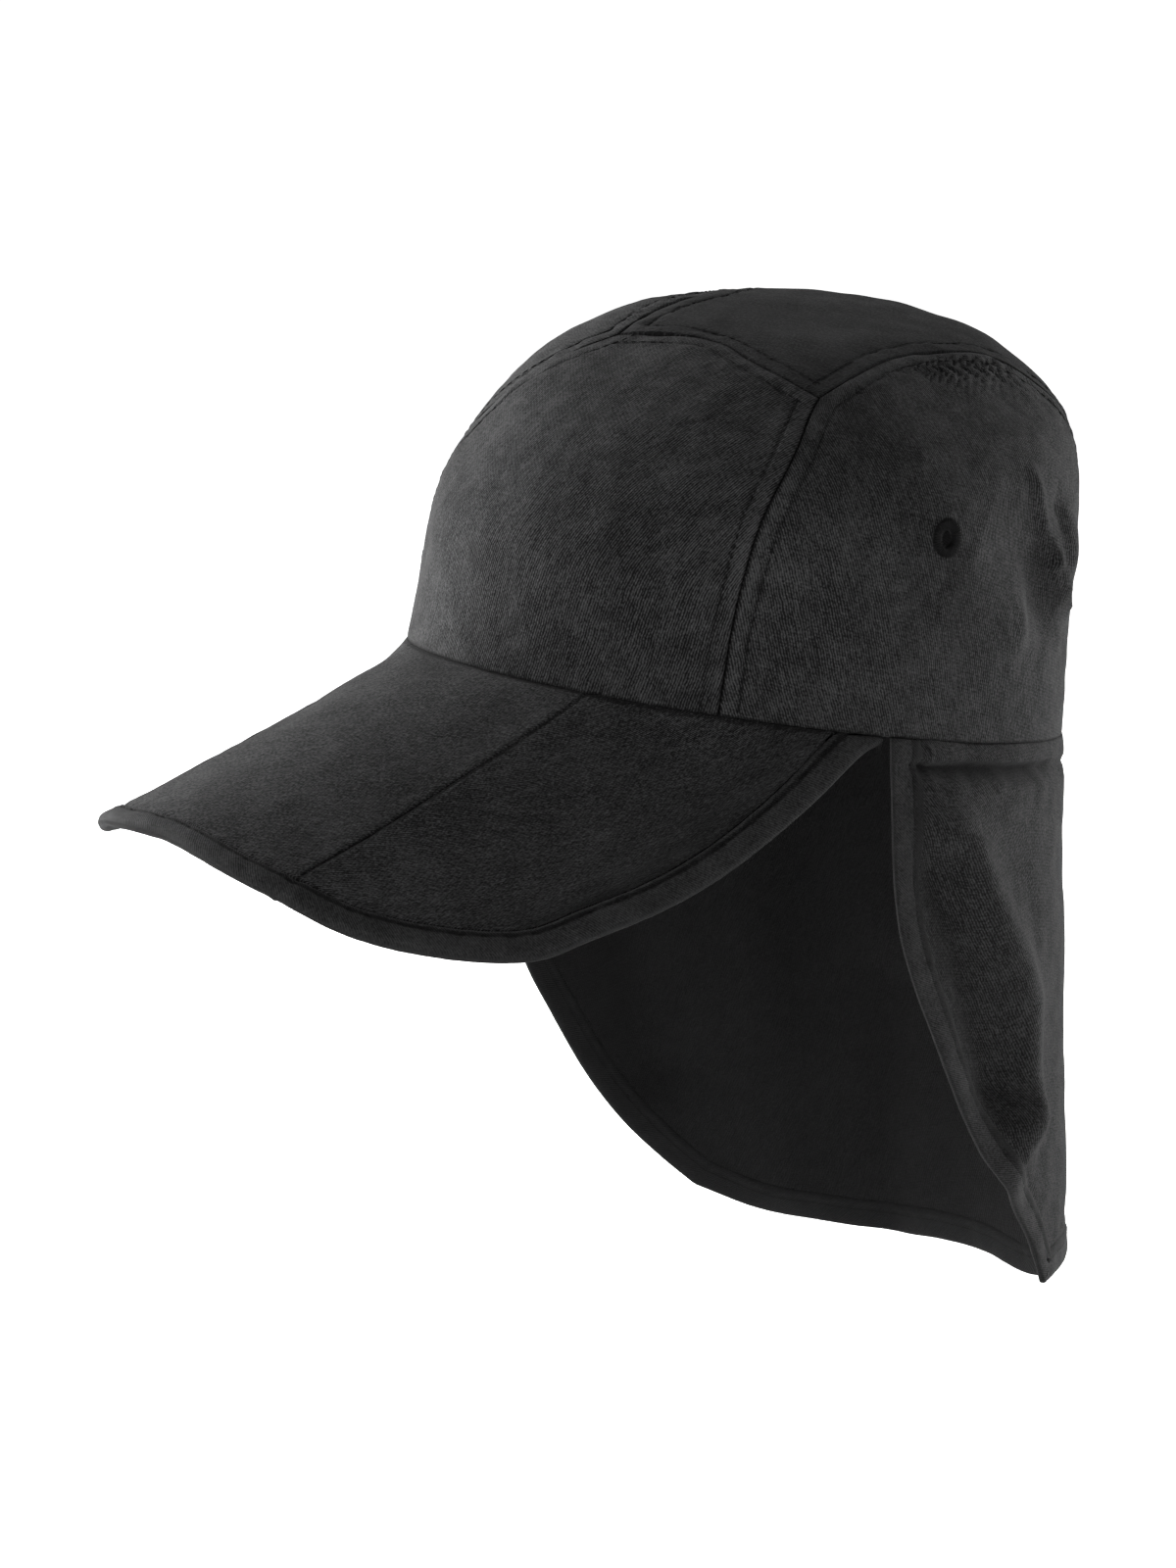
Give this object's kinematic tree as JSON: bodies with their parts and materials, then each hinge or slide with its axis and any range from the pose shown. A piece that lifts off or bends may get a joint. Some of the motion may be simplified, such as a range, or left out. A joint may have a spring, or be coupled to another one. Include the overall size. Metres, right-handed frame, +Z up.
{
  "type": "legionnaire cap",
  "caption": "Soft cloth cap with a folding peak in front and a bound neck flap hanging from the rim round the sides and back.",
  "frame": {"origin": "middle of the crown's rim, where the cap sits on a head", "axes": "+Z up through the wearer's head, -Y the way the peak points, +X the wearer's left"},
  "size_m": [0.177, 0.3076, 0.3099],
  "materials": {
    "twill": "worn cotton twill",
    "binding": "folded cotton tape",
    "thread": "close worked stitches"
  },
  "bodies": {
    "root": {"front_panel": "twill", "top_panel": "twill", "left_side_panel": "twill", "right_side_panel": "twill", "left_eyelet": "thread", "right_eyelet": "thread", "peak_middle": "twill", "peak_left": "twill", "peak_right": "twill", "peak_binding": "binding", "neck_flap": "twill", "flap_binding": "binding"}
  },
  "joints": []
}
